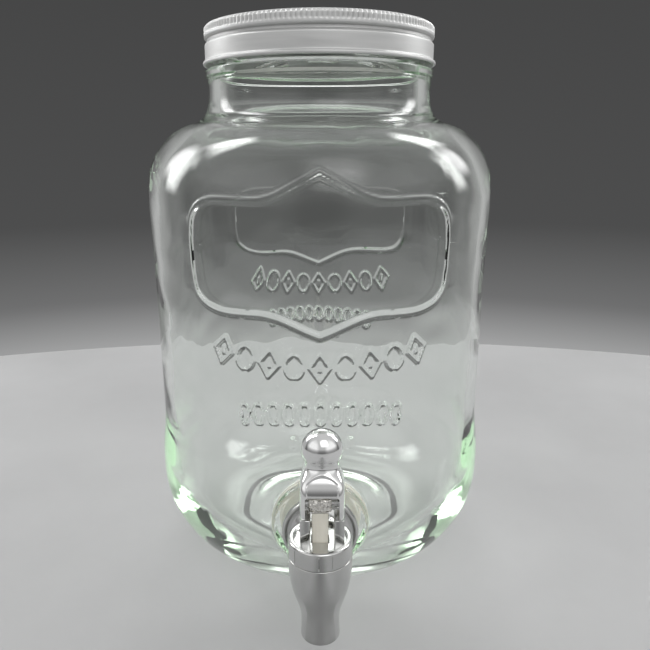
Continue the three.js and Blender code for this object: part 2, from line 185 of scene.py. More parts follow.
def chrome_material(name, dark, light, roughness):
    """dark, light: the range of its colour. roughness: (lowest, highest)."""
    material, graph, surface = new_material(name)
    place = graph.coords()
    colour = graph.ramp(graph.noise(place, scale=60.0), [(0.3, dark), (0.7, light)])
    smears = graph.noise(place, scale=210.0, detail=5.0, roughness=0.65)
    graph.feed(surface, {
        "Metallic": 1.0, "Base Color": colour,
        "Roughness": graph.noise_range(smears, *roughness),
    })
    unevenness = graph.noise(place, scale=90.0, detail=2.0)
    graph.bump(surface, unevenness, strength=0.06, distance=0.0006)
    return material


def lid_material():
    material, graph, surface = new_material("lid_aluminium_look")
    place = graph.coords()
    streak = graph.noise(graph.coords(scale=(1, 1, 14)), scale=38.0, detail=4.0, roughness=0.6)
    metal = graph.ramp(streak, [(0.25, (0.60, 0.605, 0.60)), (0.75, (0.70, 0.70, 0.695))])
    # painted shade: hollows, such as the gaps between the teeth, are darkened by an occlusion mask
    hollow_shade = graph.add("AmbientOcclusion", {"Distance": 0.0022}, samples=8, only_local=True)
    shade = graph.ramp(hollow_shade.outputs["AO"], [
        (0.40, (0.28, 0.28, 0.275)), (0.66, (0.74, 0.74, 0.735)), (0.86, (1.0, 1.0, 1.0)),
    ])
    graph.feed(surface, {
        "Metallic": 1.0,
        "Base Color": graph.mix(1.0, metal, shade, blend="MULTIPLY"),
        "Roughness": graph.noise_range(streak, low=0.46, high=0.58),
    })
    graph.bump(surface, graph.noise(place, scale=700.0), strength=0.10, distance=0.0003)
    return material


def steel_material():
    material, graph, surface = new_material("spring_steel_look")
    place = graph.coords()
    colour = graph.ramp(
        graph.noise(place, scale=300.0), [(0.3, (0.50, 0.50, 0.49)), (0.7, (0.66, 0.66, 0.65))]
    )
    roughness = graph.noise_range(graph.noise(place, scale=900.0), low=0.18, high=0.34)
    graph.feed(surface, {"Metallic": 1.0, "Base Color": colour, "Roughness": roughness})
    return material


def soft_material(name, dark, light, roughness, scale, grain, subsurface=0.0):
    """scale: of the mottling. grain: height of the bumps in metres."""
    material, graph, surface = new_material(name)
    place = graph.coords()
    mottle = graph.noise(place, scale, detail=4.0)
    colour = graph.ramp(mottle, [(0.3, dark), (0.7, light)])
    wear = graph.noise(place, scale * 2.3)
    graph.feed(surface, {
        "Base Color": colour, "IOR": 1.48,
        "Roughness": graph.noise_range(wear, roughness - 0.07, roughness + 0.07),
    })
    if subsurface:
        graph.feed(surface, {
            "Subsurface Weight": subsurface,
            "Subsurface Radius": (0.003, 0.0025, 0.0018),
            "Subsurface Scale": 0.5,
        })
    graph.bump(surface, graph.noise(place, scale * 4), strength=0.15, distance=grain)
    return material


def stem_material():
    """Natural acetal, with the bright block at its head that the pin goes through."""
    material, graph, surface = new_material("stem_look")
    place = graph.coords()
    height = graph.split(place)["Z"]
    head = graph.map_range(height, from_min=(PIN_Z - 3.2) * MM, from_max=(PIN_Z - 3.0) * MM)
    plastic = graph.ramp(
        graph.noise(place, scale=160.0, detail=4.0),
        [(0.3, (0.93, 0.89, 0.77)), (0.7, (0.97, 0.94, 0.84))],
    )
    graph.feed(surface, {
        "Base Color": graph.mix(head, plastic, (0.82, 0.80, 0.76, 1)),
        "Metallic": head,
        "Roughness": graph.map_range(head, 0.0, 1.0, to_min=0.34, to_max=0.10),
    })
    # the head is rougher cut than the plastic
    grain = graph.noise(place, scale=620.0, detail=1.0)
    amount = graph.map_range(head, 0.0, 1.0, to_min=0.12, to_max=1.0)
    graph.bump(surface, graph.math("MULTIPLY", grain, amount), strength=0.9, distance=0.0014)
    return material


GLASS = glass_material()
CHROME = chrome_material(
    "tap_chrome_look", dark=(0.57, 0.575, 0.565), light=(0.66, 0.66, 0.65), roughness=(0.06, 0.19)
)
# painted light: the lever's chrome is a lighter copy of the barrel's chrome, standing in for lamp
# light on its sides; its lower roughness is a real difference in polish
LIT_CHROME = chrome_material(
    "lever_chrome_look", dark=(0.86, 0.865, 0.86), light=(0.93, 0.93, 0.925), roughness=(0.03, 0.12)
)
ALUMINIUM = lid_material()
STEEL = steel_material()
FOAM = soft_material(
    "liner_foam_look", dark=(0.82, 0.81, 0.77), light=(0.90, 0.89, 0.86),
    roughness=0.85, scale=120.0, grain=0.0004,
)
SILICONE = soft_material(
    "silicone_look", dark=(0.82, 0.80, 0.73), light=(0.90, 0.88, 0.82),
    roughness=0.50, scale=90.0, grain=0.0002, subsurface=0.15,
)
NUT_PLASTIC = soft_material(
    "nut_plastic_look", dark=(0.90, 0.88, 0.80), light=(0.95, 0.94, 0.88),
    roughness=0.42, scale=70.0, grain=0.0002, subsurface=0.1,
)
STEM_PLASTIC = stem_material()


# ---------------------------------------------------------------- outlines
def rounded(points, closed=True, steps=5):
    """Turn [(a, b, corner radius)] into a polyline with rounded corners."""
    out = []
    last = len(points) - 1
    for i, (a, b, radius) in enumerate(points):
        if radius <= 0 or (not closed and i in (0, last)):
            out.append((a, b))
            continue
        corner = np.array([a, b], float)
        back = np.array(points[i - 1][:2], float) - corner
        ahead = np.array(points[(i + 1) % len(points)][:2], float) - corner
        back_length, ahead_length = np.linalg.norm(back), np.linalg.norm(ahead)
        back, ahead = back / back_length, ahead / ahead_length
        half = math.acos(float(np.clip(np.dot(back, ahead), -1, 1))) / 2
        if half > math.pi / 2 - 1e-3:  # all but straight
            out.append((a, b))
            continue
        trim = min(radius / math.tan(half), 0.48 * back_length, 0.48 * ahead_length)
        fitted = trim * math.tan(half)
        middle = (back + ahead) / np.linalg.norm(back + ahead)
        centre = corner + middle * (fitted / math.sin(half))
        start, end = corner + back * trim - centre, corner + ahead * trim - centre
        angle = math.atan2(start[1], start[0])
        sweep = (math.atan2(end[1], end[0]) - angle + math.pi) % (2 * math.pi) - math.pi
        for k in range(steps + 1):
            g = angle + sweep * k / steps
            out.append((centre[0] + fitted * math.cos(g), centre[1] + fitted * math.sin(g)))
    return out


def spline(points, step):
    """A centripetal Catmull-Rom curve through the points, sampled about every step."""
    p = np.array(points, float)
    p = np.vstack([2 * p[0] - p[1], p, 2 * p[-1] - p[-2]])
    out = []
    for i in range(1, len(p) - 2):
        four = p[i - 1:i + 3]
        knots = [0.0]
        for start, end in zip(four, four[1:]):
            knots.append(knots[-1] + max(1e-6, np.linalg.norm(end - start) ** 0.5))
        count = max(1, int(math.ceil(np.linalg.norm(four[2] - four[1]) / step)))
        for k in range(count):
            s = knots[1] + (knots[2] - knots[1]) * k / count

            def blend(start, end, first, second):
                t0, t1 = knots[first], knots[second]
                return (t1 - s) / (t1 - t0) * start + (s - t0) / (t1 - t0) * end

            sides = [blend(four[j], four[j + 1], j, j + 1) for j in range(3)]
            inner = [blend(sides[j], sides[j + 1], j, j + 2) for j in range(2)]
            out.append(blend(inner[0], inner[1], 1, 2))
    out.append(p[-2])
    return [tuple(q) for q in out]


def arc(centre, radii, start, end, count, power=1.0):
    """Part of an ellipse from start to end degrees; power reshapes it."""
    start, end = math.radians(start), math.radians(end)
    out = []
    for k in range(count + 1):
        g = start + (end - start) * k / count
        across, up = (math.copysign(abs(q) ** power, q) for q in (math.cos(g), math.sin(g)))
        out.append((centre[0] + radii[0] * across, centre[1] + radii[1] * up))
    return out


def joined(*parts):
    """Chain polylines, leaving out points that repeat the one before."""
    out = []
    for q in (q for part in parts for q in part):
        if not out or math.hypot(q[0] - out[-1][0], q[1] - out[-1][1]) > 1e-4:
            out.append((float(q[0]), float(q[1])))
    return out


def between(p, q, count):
    """count even points from p toward q, without q."""
    return [
        (p[0] + (q[0] - p[0]) * t / count, p[1] + (q[1] - p[1]) * t / count) for t in range(count)
    ]


def subdivided(points, step, closed=False):
    """Split each segment into lengths of at most step(a, b), taken at its middle."""
    out = []
    for p, q in zip(points, points[1:] + (points[:1] if closed else [])):
        longest = step((p[0] + q[0]) / 2, (p[1] + q[1]) / 2)
        out += between(p, q, max(1, int(math.ceil(math.hypot(q[0] - p[0], q[1] - p[1]) / longest))))
    return out if closed else out + points[-1:]


# ---------------------------------------------------------------- mesh tools
def mesh_object(name, verts, faces, material=None):
    verts = np.array(verts, float)
    verts[:, 1] += AXIS_Y
    mesh = bpy.data.meshes.new(name)
    mesh.from_pydata((verts * MM).tolist(), [], faces)
    mesh.update()
    mesh.polygons.foreach_set("use_smooth", np.ones(len(mesh.polygons), bool))
    if material:
        mesh.materials.append(material)
    ob = bpy.data.objects.new(name, mesh)
    bpy.context.scene.collection.objects.link(ob)
    return ob


def cut(ob, *tools, op="DIFFERENCE"):
    """Cut the tools away from ob, or join them to it, and delete the tools."""
    for tool in tools:
        modifier = ob.modifiers.new("b", "BOOLEAN")
        modifier.operation = op
        modifier.solver = "MANIFOLD"
        modifier.object = tool
    graph = bpy.context.evaluated_depsgraph_get()
    mesh = bpy.data.meshes.new_from_object(ob.evaluated_get(graph))
    old = ob.data
    materials = list(old.materials)
    ob.modifiers.clear()
    ob.data = mesh
    mesh.name = old.name
    bpy.data.meshes.remove(old)
    mesh.materials.clear()
    for material in materials:
        mesh.materials.append(material)
    mesh.polygons.foreach_set("material_index", np.zeros(len(mesh.polygons), np.int32))
    mesh.polygons.foreach_set("use_smooth", np.ones(len(mesh.polygons), bool))
    for tool in tools:
        tool_mesh = tool.data
        bpy.data.objects.remove(tool)
        bpy.data.meshes.remove(tool_mesh)


def sharpen(ob, degrees):
    ob.data.set_sharp_from_angle(angle=math.radians(degrees))


def put(ob, body, node, sharp=32):
    """Finish a piece: it moves with body and stands in for the CAD node."""
    sharpen(ob, sharp)
    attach(ob, body)
    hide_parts(node)


def turns(count):
    return np.arange(count) * 2 * math.pi / count


def ring(x, y, z):
    return np.stack(np.broadcast_arrays(x, y, z), 1)


def ringed(rows, closed_profile):
    """Join rows, each a ring of points or a single point, into verts and faces."""
    rows = [np.atleast_2d(row) for row in rows]
    sizes = [len(row) for row in rows]
    starts = [sum(sizes[:k]) for k in range(len(rows))]
    pairs = [(k, k + 1) for k in range(len(rows) - 1)]
    if closed_profile:
        pairs.append((len(rows) - 1, 0))
    faces = []
    for low, high in pairs:
        a, b = starts[low], starts[high]
        count = max(sizes[low], sizes[high])
        for i in range(count):
            j = (i + 1) % count
            if sizes[low] == 1:
                faces.append((a, b + j, b + i))
            elif sizes[high] == 1:
                faces.append((a + i, a + j, b))
            else:
                faces.append((a + i, a + j, b + j, b + i))
    return np.vstack(rows), faces


def facing_out(verts, faces):
    """Turn all the faces over if they enclose a negative volume."""
    volume = 0.0
    for face in faces:
        first = verts[face[0]]
        for k in range(1, len(face) - 1):
            volume += float(np.dot(first, np.cross(verts[face[k]], verts[face[k + 1]])))
    return faces if volume > 0 else [tuple(reversed(face)) for face in faces]


def ring_object(name, rows, material=None, closed_profile=False):
    verts, faces = ringed(rows, closed_profile)
    return mesh_object(name, verts, facing_out(verts, faces), material)


def lathe(name, profile, segments=96, axis="Z", centre=(0, 0, 0), material=None):
    """Turn [(radius, place along the axis)] about a line through centre.

    The profile is closed into a ring unless both its ends are on the axis.
    """
    along = "XYZ".index(axis)
    first, second = (k for k in range(3) if k != along)
    rows = []
    for radius, place in profile:
        angles = turns(segments) if radius else np.zeros(1)
        row = np.tile(np.array(centre, float), (len(angles), 1))
        row[:, first] += radius * np.cos(angles)
        row[:, second] += radius * np.sin(angles)
        row[:, along] += place
        rows.append(row)
    on_axis = profile[0][0] == 0 and profile[-1][0] == 0
    return ring_object(name, rows, material, closed_profile=not on_axis)


def tap_box(name, x_span, y_span, z_span, radius, steps=4):
    """A block with every edge rounded, placed from the tap's axis in the tap's heights."""
    x0, x1 = x_span
    y0, y1 = (TAP_Y + y for y in y_span)
    z0, z1 = (z + LIFT for z in z_span)
    quarter = [math.pi / 2 * k / steps for k in range(steps + 1)]
    levels = [(z0 + radius - radius * math.cos(g), radius - radius * math.sin(g)) for g in quarter]
    levels += [(z1 - radius + radius * math.sin(g), radius - radius * math.cos(g)) for g in quarter]
    corners = (
        (x1 - radius, y1 - radius, 0), (x0 + radius, y1 - radius, 90),
        (x0 + radius, y0 + radius, 180), (x1 - radius, y0 + radius, 270),
    )
    rows = []
    for z, inset in levels:
        reach = max(radius - inset, 0.02)
        row = []
        for x, y, start in corners:
            for k in range(steps + 1):
                g = math.radians(start + 90 * k / steps)
                row.append((x + reach * math.cos(g), y + reach * math.sin(g), z))
        rows.append(row)
    verts, faces = ringed(rows, closed_profile=False)
    size = len(rows[0])
    caps = [tuple(reversed(range(size))), tuple(range(len(verts) - size, len(verts)))]
    return mesh_object(name, verts, faces + caps)


def thread(turn, z, start, half_width, height, fade_in, fade_out):
    """Height of a screw thread at z; the fades are spans of turns where it rises and falls."""
    out = 0.0
    for extra in (0, 1):
        t = turn + extra
        u = np.clip(np.abs(z - (start + THREAD_PITCH * t)) / half_width, 0, 1)
        ends = smoothstep(*fade_in, t) * (1 - smoothstep(*fade_out, t))
        out = out + height * (1 - u * u) ** 1.3 * ends
    return out


# ---------------------------------------------------------------- glass jar
NECK_R = 54.0
FINISH_R = 51.6  # threaded part of the neck
MOUTH_R = 48.6
ORNAMENT_R = 85.0  # radius at which the ornament is laid round the wall
FLAT_OUT_Y = -88.3  # outer and inner flats round the shank hole
FLAT_IN_Y = -79.5
SHANK_HOLE_R = 8.6

# Left half of the label frame: (across, up)
FRAME_HALF = [
    (0.0, 202.6), (-7.4, 198.6), (-12.8, 195.7), (-17.8, 193.1), (-23.9, 191.4), (-31.5, 191.0),
    (-39.4, 191.2), (-47.5, 190.7), (-53.2, 188.4), (-57.2, 184.0), (-58.8, 177.4), (-59.3, 166.8),
    (-58.9, 158.2), (-57.3, 151.4), (-53.0, 147.2), (-46.4, 144.7), (-39.9, 143.9), (-32.0, 144.0),
    (-24.2, 144.1), (-17.7, 142.9), (-11.0, 140.3), (-5.4, 137.8), (0.0, 135.6),
]
# Outlines of the glass: (radius, z)
FOOT = [(6, 3.2), (18, 3.1), (28, 2.6), (34, 1.8), (38.5, 0.85), (41.5, 0.2), (43.5, 0.0)]
NECK = [
    (60.2, 222.0), (57.6, 223.6), (55.5, 226.4), (54.3, 230.2), (NECK_R, 234.5), (NECK_R, 239.6),
]
INNER_NECK = [(MOUTH_R, 258), (MOUTH_R, 244), (MOUTH_R, 230), (49.0, 225.6), (50.4, 222.4)]
INNER_BASE = [(48, 9.8), (40, 8.9), (28, 8.3), (14, 8.2), (4, 8.4)]


def oval(half_across, half_up, count=25):
    return [
        (half_across * math.cos(g), half_up * math.sin(g))
        for g in np.linspace(0, 2 * math.pi, count)
    ]


def raised_lines():
    """The raised ornament: [(polyline of (across, up), half width, height)]."""
    left = spline(FRAME_HALF, step=1.2)
    right = [(-across, up) for across, up in reversed(left)]
    lines = [(left + right[1:], 1.75, 0.95)]

    # a sagging row of lozenges and ovals by turns, each lozenge with a bar in it
    sag, reach = 4.8, 43.0
    corners = [(0, 6.2), (-4.2, 0), (0, -6.2), (4.2, 0)]
    for k in range(9):
        across = -43.2 + 10.8 * k
        up = 122.3 + sag * (across / reach) ** 2
        lean = math.atan(2 * sag * across / reach**2)
        c, s = math.cos(lean), math.sin(lean)
        if k % 2 == 0:
            shape = []
            for i in range(4):
                shape += between(corners[i], corners[(i + 1) % 4], 6)
        else:
            shape = oval(3.9, 5.2)[:-1]
        shape.append(shape[0])
        turned = [(across + p * c - q * s, up + p * s + q * c) for p, q in shape]
        lines.append((turned, 1.05, 0.9))
        if k % 2 == 0:
            lines.append(([(across, up - 1.4), (across, up + 1.4)], 1.0, 0.7))

    # a row of narrow ovals under them
    for k in range(11):
        across = -33.5 + 6.75 * k
        up = 101.0 - 2.4 * (across / 34.0) ** 2
        lines.append(([(across + p, up + 0.4 + q) for p, q in oval(2.3, 4.7)], 1.1, 1.3))

    # two short upright strokes
    for across in (-11.5, 13.0):
        lines.append(([(across, 86.6), (across, 89.2)], 1.8, 0.8))
    return [(np.array(points, float), half_width, height) for points, half_width, height in lines]


RAISED = raised_lines()


def relief(across, up):
    """Height of the ornament at each place."""
    out = np.zeros_like(across)
    for points, half_width, height in RAISED:
        low, high = points.min(0) - half_width, points.max(0) + half_width
        near = (across > low[0]) & (across < high[0]) & (up > low[1]) & (up < high[1])
        index = np.nonzero(near)[0]
        if not len(index):
            continue
        places = np.stack([across[index], up[index]], 1)
        nearest = np.full(len(index), 1e9)
        for start, end in zip(points[:-1], points[1:]):
            run = end - start
            t = np.clip(((places - start) @ run) / max(1e-9, run @ run), 0, 1)
            nearest = np.minimum(nearest, np.hypot(*(places - start - t[:, None] * run).T))
        u = np.clip(nearest / half_width, 0, 1)
        out[index] = np.maximum(out[index], height * (1 - u * u) ** 1.15 * (1 + 0.15 * u))
    return out


def wave(angle, z, seed):
    """Slow unevenness of pressed glass, within about 1 either way."""
    draw = np.random.RandomState(seed)
    out = np.zeros_like(angle)
    for _ in range(14):
        round_it, up_it = draw.randint(1, 9), draw.uniform(0.6, 5.5)
        size = draw.uniform(0.3, 1.0)
        phase = draw.uniform(0, 6.28)
        out += size * np.sin(round_it * angle + up_it * z / 40.0 + phase) / (1 + 0.15 * round_it)
    return out / 4.5


def ripple(x, y, seed):
    """The same unevenness across the inside of the base."""
    draw = np.random.RandomState(seed)
    out = np.zeros_like(x)
    for _ in range(12):
        heading, rate = draw.uniform(0, 6.28), draw.uniform(0.05, 0.24)
        size = draw.uniform(0.4, 1.0)
        phase = draw.uniform(0, 6.28)
        out += size * np.sin(rate * (x * np.cos(heading) + y * np.sin(heading)) + phase)
    return out / 4.5


def outer_outline():
    heel = arc((47, 44), (40, 44), start=-90, end=0, count=46)
    wall = []
    z = 44.0
    while z < 187:
        narrowing = 2.2 * float(smoothstep(50, 78, z))
        wall.append((87.0 - narrowing + 0.8 * float(smoothstep(150, 183, z)), z))
        z += 0.75 if z < 74 else (1.0 if z < 84 else 0.6)
    shoulder = arc((54, 187), (31.6, 35), start=0, end=76, count=52, power=0.92)
    bead = rounded([
        (NECK_R, 239.6, 0), (54.1, 241.4, 1.2), (55.0, 242.4, 0.8), (55.0, 245.5, 0.9),
        (FINISH_R, 247.0, 1.0),
    ], closed=False)
    finish = [(FINISH_R, LID_BOTTOM + 0.55 * k) for k in range(24)]
    lip = rounded([
        (FINISH_R, 260.9, 0), (FINISH_R, RIM, 0.9), (MOUTH_R, RIM, 0.9), (MOUTH_R, 260.6, 0),
    ], closed=False)
    foot = spline(FOOT, step=1.4)
    neck = spline([shoulder[-1]] + NECK, step=0.9)
    return joined(foot, [(47, 0)], heel, wall, shoulder, neck, bead, finish, lip)


def inner_outline():
    """From the mouth down to the base."""
    wall_r = 80.3
    return (
        spline(INNER_NECK, step=3.0)
        + arc((50.5, 185.5), (30.6, 33.5), start=78, end=0, count=18)
        + [(wall_r + 0.8 * float(smoothstep(150, 183, z)), z) for z in np.arange(181, 82, -3.0)]
        + [(wall_r + 0.9 * float(1 - smoothstep(54, 78, z)), z) for z in np.arange(80, 51, -1.2)]
        + arc((48, 50), (33.2, 40.2), start=0, end=-82, count=42)
        + spline(INNER_BASE, step=2.0)
    )


def glass_jar():
    outer = outer_outline()
    profile = joined([(0, 3.2)], outer, inner_outline(), [(0, 8.4)])
    outer_count = 1 + len(outer)

    # columns stand close together at the front and back, where the ornament is
    fine = np.arange(-40, 40.01, 0.4)
    side = np.arange(42.5, 138, 2.5)
    degrees = np.concatenate([fine, side, 180 + fine, 180 + side]) - 90.0
    angle = np.radians(degrees)
    turn = ((angle + 2 * math.pi) % (2 * math.pi)) / (2 * math.pi)
    rows = []
    for k, (r, z) in enumerate(profile):
        if r == 0:
            rows.append([0.0, 0.0, z])
            continue
        outside = k < outer_count
        radius = np.full(len(angle), r)
        level = np.full(len(angle), z)
        if outside and z > 40 and r > 60:
            for face in (-90.0, 90.0):
                off = np.radians((degrees - face + 180) % 360 - 180)
                radius = radius + relief(ORNAMENT_R * off, level) * (np.abs(off) < 1.0)
            radius = radius + 0.06 * wave(angle, level, seed=3)
        if outside and 249 < z < 260.5 and r > 50:
            radius = radius + thread(
                turn, z, start=250.9, half_width=1.25, height=1.25,
                fade_in=(0, 0.08), fade_out=(1.17, 1.25),
            )
        if not outside and 12 < z < 222 and r > 50:
            held = smoothstep(12, 30, z) * (1 - smoothstep(200, 222, z))
            slow = 0.46 * wave(angle, level, seed=11) * (0.30 + 0.70 * smoothstep(52, 90, z))
            quick = 0.13 * wave(3.0 * angle, 3.2 * level, seed=29) * smoothstep(55, 85, z)
            radius = radius + (slow + quick) * held
        x, y = radius * np.cos(angle), radius * np.sin(angle)
        if not outside and z < 20 and 1 < r < 62:
            inland = smoothstep(1, 16, r) * (1 - smoothstep(46, 62, r))
            level = level + 0.34 * ripple(x, y, seed=5) * inland
        if 20 < z < 80 and r > 60:
            # flats round the shank hole
            flat, start, end = (FLAT_OUT_Y, 20.2, 22.0) if outside else (FLAT_IN_Y, 19.2, 22.2)
            from_hole = np.hypot(x, z - SHANK_Z)
            y = y + (flat - y) * ((1 - smoothstep(start, end, from_hole)) * (y < -50))
        rows.append(ring(x, y, level))
    ob = ring_object("jar_of_glass", rows, GLASS)
    drill = [(0, -70), (SHANK_HOLE_R, -70), (SHANK_HOLE_R, -100), (0, -100)]
    cut(ob, lathe("drill", drill, axis="Y", centre=SHANK_AXIS))
    put(ob, "jar", "glass_jar", sharp=40)


# ---------------------------------------------------------------- lid and liner
LID_TEETH = 158
POINTS_PER_TOOTH = 6
TOOTH_DEPTH = 0.48


def screw_lid():
    top, base = LID_TOP, LID_BOTTOM
    # (radius, z, corner radius), over the top, down the skirt and back up inside
    profile = rounded([
        (0, top - 0.9, 0), (40.2, top - 0.9, 0.8), (41.6, top - 0.05, 0.8), (54.0, top, 1.5),
        (55.0, top - 1.3, 0.9), (55.0, top - 5.4, 0.8), (53.75, top - 6.2, 0.4),
        (53.75, top - 7.2, 0.4), (54.9, top - 8.4, 0.9), (54.9, base + 2.2, 0.8),
        (55.3, base + 1.75, 0.3), (56.0, base + 1.4, 0.6), (56.0, base, 0.65), (54.75, base, 0.4),
        (54.15, base + 1.9, 0.5), (54.15, top - 8.8, 0.6), (53.1, top - 7.6, 0.4),
        (53.1, top - 6.0, 0.4), (54.2, top - 5.1, 0.5), (54.2, top - 1.7, 0.9),
        (53.4, top - 0.75, 0.6), (42.0, top - 0.8, 0.6), (40.4, top - 1.7, 0.6), (0, top - 1.7, 0),
    ], closed=False, steps=6)

    def step(r, z):
        if 53.2 < r < 55.1 and z > top - 5:
            return 0.3  # the toothed band
        return 1.2 if r > 53 else 6.0

    profile = subdivided(profile, step)
    last_outside = max(k for k, (r, _) in enumerate(profile) if r > 55.9)
    angle = turns(LID_TEETH * POINTS_PER_TOOTH)
    teeth = 0.5 + 0.5 * np.cos(LID_TEETH * angle)
    rows = []
    for k, (r, z) in enumerate(profile):
        if r == 0:
            rows.append([0, 0, z])
            continue
        radius = np.full(len(angle), float(r))
        if k < last_outside and r > 53.0 and z > top - 4.6:
            rise = float(smoothstep(top - 4.3, top - 3.4, z))
            weight = rise * float(smoothstep(53.1, 54.2, r))
            radius = radius - TOOTH_DEPTH * weight * teeth**1.5
        if k > last_outside and r > 53.9 and 248.8 < z < 258:
            radius = radius - thread(
                angle / (2 * math.pi), z, start=248.6, half_width=1.2, height=1.9,
                fade_in=(0.42, 0.50), fade_out=(0.94, 1.02),
            )
        rows.append(ring(radius * np.cos(angle), radius * np.sin(angle), z))
    put(ring_object("screw_lid", rows, ALUMINIUM), "lid", "lid_shell", sharp=38)


def lid_wad():
    radius, low, high = 52.4, RIM + 0.15, RIM + 1.15
    outline = [(0, low, 0), (radius, low, 0.3), (radius, high, 0.3), (0, high, 0)]
    ob = lathe("lid_wad", rounded(outline, closed=False), 128, material=FOAM)
    put(ob, "liner", "lid_liner")


# ---------------------------------------------------------------- tap body
# Radii shared by the tops of the barrel and the pieces set into it
COLLAR_R = 13.1
SHOULDER_R = 11.6
CHAMBER_R = 10.3


def tap_body():
    # (radius, height) up the outside of the barrel
    flare = [
        (8.12, 9.4), (7.95, 13), (8.0, 17), (8.5, 20.5), (9.8, 25), (11.4, 30), (12.3, 34.2),
        (12.85, 38.5), (13.08, 42.5), (COLLAR_R, 44.0),
    ]
    barrel = joined(
        rounded([(6.4, 7.4, 0), (8.2, 7.4, 0.55), (8.12, 9.4, 0)], closed=False),
        spline(flare, step=0.5),
        rounded([
            (COLLAR_R, 44.0, 0), (COLLAR_R, 46.3, 0.35), (SHOULDER_R, 46.3, 0.1),
            (SHOULDER_R, 50.0, 0.2), (CHAMBER_R, 50.0, 0.2), (CHAMBER_R, 33.4, 0.2),
            (7.4, 33.4, 0.2), (7.0, 34.2, 0.2), (6.2, 34.2, 0.2), (6.2, 20, 0),
        ], closed=False),
    )
    ob = lathe("tap_barrel", barrel, 144, centre=TAP_AXIS, material=CHROME)

    # (radius, y, corner radius) along the shank, from the barrel back through the jar's wall
    shank = rounded([
        (0, TAP_Y + 6, 0), (9.6, TAP_Y + 6, 0), (9.6, -97.3, 3.0), (10.8, -94.0, 2.0),
        (12.6, -92.5, 1.2), (14.6, -92.4, 0.8), (15.3, -93.3, 0.7), (16.7, -93.2, 1.0),
        (16.7, -90.4, 0.3), (7.9, -90.4, 0), (7.9, -65.9, 0.5), (0, -65.3, 0),
    ], closed=False, steps=8)
    cut(ob, lathe("arm", shank, 128, axis="Y", centre=SHANK_AXIS), op="UNION")

    chamber = [(0, 34.2), (7.0, 34.2), (7.4, 33.4), (CHAMBER_R, 33.4), (CHAMBER_R, 51), (0, 51)]
    outlet = [(0, 5), (6.15, 5), (6.15, 34.5), (0, 34.5)]
    inlet = [(0, TAP_Y), (4.2, TAP_Y), (4.2, -60), (0, -60)]
    over = [(SHOULDER_R, 50.0), (0, 50.0), (0, 60), (14.0, 60), (14.0, 46.3), (SHOULDER_R, 46.3)]
    cut(
        ob,
        lathe("chamber", chamber, 144, centre=TAP_AXIS),
        lathe("outlet", outlet, 96, centre=TAP_AXIS),
        lathe("inlet", inlet, 64, axis="Y", centre=SHANK_AXIS),
        lathe("over", over, 144, centre=TAP_AXIS),
    )
    put(ob, "jar", "tap_body", sharp=30)


def shank_washers():
    inner_r = 8.3
    # name, outer radius, front y, back y, CAD node
    for name, outer_r, front, back, node in (
        ("washer_outside", 15.8, -90.35, -88.35, "outer_washer"),
        ("washer_inside", 17.4, -79.45, -77.45, "inner_washer"),
    ):
        outline = [
            (inner_r, front, 0.2), (outer_r, front, 0.6), (outer_r, back, 0.6), (inner_r, back, 0.2)
        ]
        ob = lathe(name, rounded(outline), 128, axis="Y", centre=SHANK_AXIS, material=SILICONE)
        put(ob, "jar", node)


def shank_nut():
    """A round flange against the inner washer, with a hexagon behind it."""
    face = -77.4
    angle = turns(96)
    hexagon = 15.2 * math.cos(math.pi / 6) / np.cos((angle % (math.pi / 3)) - math.pi / 6)
    hexagon = np.minimum(hexagon, 14.7)
    rows = []
    # distance behind the face, the outline added to, and the radius or inset
    for offset, outline, extra in (
        (0, 0.0, 8.2), (0, 0.0, 17.9), (0.25, 0.0, 18.25), (0.5, 0.0, 18.4),
        (2.0, 0.0, 18.4), (2.3, 0.0, 18.1), (2.4, 0.0, 17.8), (2.5, hexagon, 0.0),
        (8.4, hexagon, 0.0), (8.8, hexagon, -0.35), (9.0, hexagon, -0.9), (9.0, 0.0, 8.2),
    ):
        radius = outline + extra
        rows.append(ring(radius * np.cos(angle), face + offset, SHANK_Z + radius * np.sin(angle)))
    ob = ring_object("nut_inside", rows, NUT_PLASTIC, closed_profile=True)
    put(ob, "jar", "shank_nut", sharp=28)


# ---------------------------------------------------------------- bonnet
def bonnet():
    """The plate that closes the barrel, with two posts either side of the stem."""
    plate = rounded([
        (0, 46.9, 0), (9.3, 46.9, 0.3), (9.3, 50.5, 0.1), (11.5, 50.5, 0.2), (11.5, 52.7, 0.3),
        (0, 52.7, 0),
    ], closed=False)
    ob = lathe("bonnet_plate", plate, 128, centre=TAP_AXIS, material=CHROME)
    posts = []
    for side in (-1, 1):
        x = LEVER_SHIFT + side * 6.8
        posts.append(tap_box("post", (x - 2.05, x + 2.05), (-4.2, 4.2), (52.0, POST_TOP), 0.5))
    cut(ob, *posts, op="UNION")
    slot = tap_box("slot", (-3.7, 3.7), (-2.9, 2.9), (49.9, 60), 0.2)
    hole = [(0, 40), (4.7, 40), (4.7, 48.9), (2.7, 48.9), (2.7, 60), (0, 60)]
    cut(ob, slot, lathe("hole", hole, 64, centre=TAP_AXIS))
    put(ob, "jar", "bonnet", sharp=30)


def gasket():
    outline = rounded([(9.5, 50.05, 0.1), (11.4, 50.05, 0.1), (11.4, 50.45, 0.1), (9.5, 50.45, 0.1)])
    ob = lathe("gasket", outline, 96, centre=TAP_AXIS, material=SILICONE)
    put(ob, "jar", "bonnet_gasket", sharp=30)


